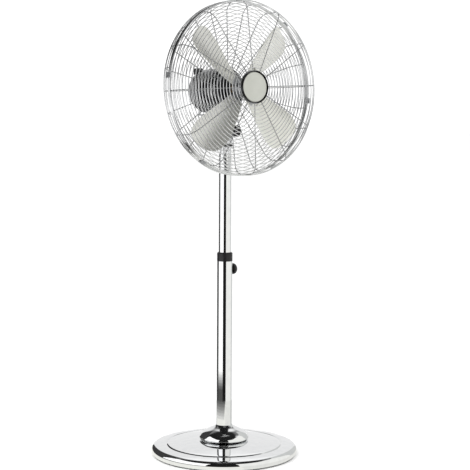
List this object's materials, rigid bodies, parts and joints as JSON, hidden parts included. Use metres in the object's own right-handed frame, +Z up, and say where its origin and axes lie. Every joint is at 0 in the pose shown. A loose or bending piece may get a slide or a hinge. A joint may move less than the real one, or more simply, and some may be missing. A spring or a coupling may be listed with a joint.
{
  "type": "pedestal fan",
  "caption": "Chrome pedestal fan: weighted round base, telescopic pole, tilting oscillating head, caged four-paddle fan wheel.",
  "frame": {"origin": "centre of the round base at floor level, on the pole's axis", "axes": "+Z up along the pole, -Y the way the fan blows, +X to the right seen from in front of the fan"},
  "size_m": [0.4444, 0.38, 1.1756],
  "materials": {
    "chrome_plate": "polished chrome plate",
    "steel_bare": "zinc-plated steel",
    "black_plastic": "moulded black plastic, slight sheen",
    "black_paint": "satin black enamel on die casting",
    "blade_alu": "satin aluminium sheet",
    "cap_paint": "satin grey-green enamel",
    "iron": "rough cast iron",
    "rubber_black": "black rubber",
    "wire_chrome": "chrome-plated wire",
    "lamination": "varnished laminations",
    "copper": "enamelled copper wire, brass density stands in",
    "brass_part": "turned brass",
    "nylon": "natural nylon"
  },
  "bodies": {
    "stand": {"base_foot_ring": "rubber_black", "base_pan": "black_paint", "base_weight": "iron", "base_bolt": "steel_bare", "tube_socket": "steel_bare", "base_cover": "chrome_plate", "escutcheon": "chrome_plate", "lower_tube": "chrome_plate", "guide_bush": "nylon", "pole_collar": "black_plastic", "clamp_boss": "brass_part"},
    "height_knob": {"height_knob_grip": "black_plastic", "height_knob_screw": "steel_bare"},
    "mast": {"mast_tube": "chrome_plate", "mast_guide": "nylon", "mast_plug": "nylon", "neck_cup": "chrome_plate", "link_anchor": "black_paint"},
    "swivel": {"swivel_yoke": "black_paint", "swivel_clip": "steel_bare", "tilt_bolt": "steel_bare"},
    "tilt_knob": {"tilt_knob_grip": "black_plastic", "tilt_knob_insert": "brass_part"},
    "head": {"neck_foot": "black_paint", "motor_front_shield": "black_paint", "motor_rear_cover": "chrome_plate", "stator_core": "lamination", "stator_windings": "copper", "bearing_front": "brass_part", "bearing_rear": "brass_part", "rear_bracket": "steel_bare", "gearbox_case": "nylon", "cord_gland": "rubber_black", "speed_switch": "black_plastic", "guard_front_face": "wire_chrome", "guard_front_side": "wire_chrome", "guard_front_rim": "wire_chrome", "guard_front_plate": "steel_bare", "guard_rear_face": "wire_chrome", "guard_rear_side": "wire_chrome", "guard_rear_rim": "wire_chrome", "guard_rear_plate": "steel_bare", "guard_ring_nut": "black_plastic", "centre_cap": "cap_paint", "rim_clips": "chrome_plate"},
    "rotor": {"rotor_shaft": "steel_bare", "rotor_core": "lamination", "hub_spider": "steel_bare", "blade_1": "blade_alu", "blade_2": "blade_alu", "blade_3": "blade_alu", "blade_4": "blade_alu", "blade_rivets": "blade_alu", "spinner_nut": "black_plastic"},
    "crank": {"worm_wheel": "nylon", "clutch_shaft": "steel_bare", "crank_arm": "steel_bare"},
    "link": {"drive_link": "steel_bare"},
    "oscillation_pull": {"oscillation_knob": "black_plastic"},
    "speed_dial": {"speed_knob": "black_plastic"}
  },
  "joints": [
    {"name": "height_slide", "type": "slide", "parent": "stand", "child": "mast", "axis": [0, 0, 1], "range_m": [-0.25, 0.08]},
    {"name": "height_knob_turn", "type": "hinge", "parent": "stand", "child": "height_knob", "pos_m": [0.03, 0, 0.486], "axis": [1, 0, 0], "range_deg": [0, 300]},
    {"name": "oscillation_swing", "type": "hinge", "parent": "mast", "child": "swivel", "pos_m": [0, 0, 0.83], "axis": [0, 0, 1], "range_deg": [-40, 40]},
    {"name": "head_tilt", "type": "hinge", "parent": "swivel", "child": "head", "pos_m": [0, 0, 0.843], "axis": [1, 0, 0], "range_deg": [-18, 7]},
    {"name": "tilt_knob_turn", "type": "hinge", "parent": "swivel", "child": "tilt_knob", "pos_m": [0.033, 0, 0.843], "axis": [1, 0, 0], "range_deg": [0, 300]},
    {"name": "rotor_spin", "type": "hinge", "parent": "head", "child": "rotor", "pos_m": [0, -0.06198, 0.95199], "axis": [0, -0.9986, 0.0523], "continuous": true},
    {"name": "crank_turn", "type": "hinge", "parent": "head", "child": "crank", "pos_m": [-0.018, 0.09181, 0.94393], "axis": [0, 0.0523, 0.9986], "continuous": true},
    {"name": "link_turn", "type": "hinge", "parent": "crank", "child": "link", "pos_m": [-0.018, 0.07226, 0.87666], "axis": [0, 0.0523, 0.9986], "continuous": true},
    {"name": "oscillation_pull", "type": "slide", "parent": "head", "child": "oscillation_pull", "axis": [0, 0.0523, 0.9986], "range_m": [0, 0.008]},
    {"name": "speed_turn", "type": "hinge", "parent": "head", "child": "speed_dial", "pos_m": [0.0582, 0.04135, 0.93656], "axis": [1, 0, 0], "range_deg": [0, 135]}
  ],
  "couplings": [
    {"joint": "crank_turn", "follows": "rotor_spin", "ratio": 0.041667},
    {"joint": "link_turn", "follows": "rotor_spin", "ratio": -0.041667}
  ]
}
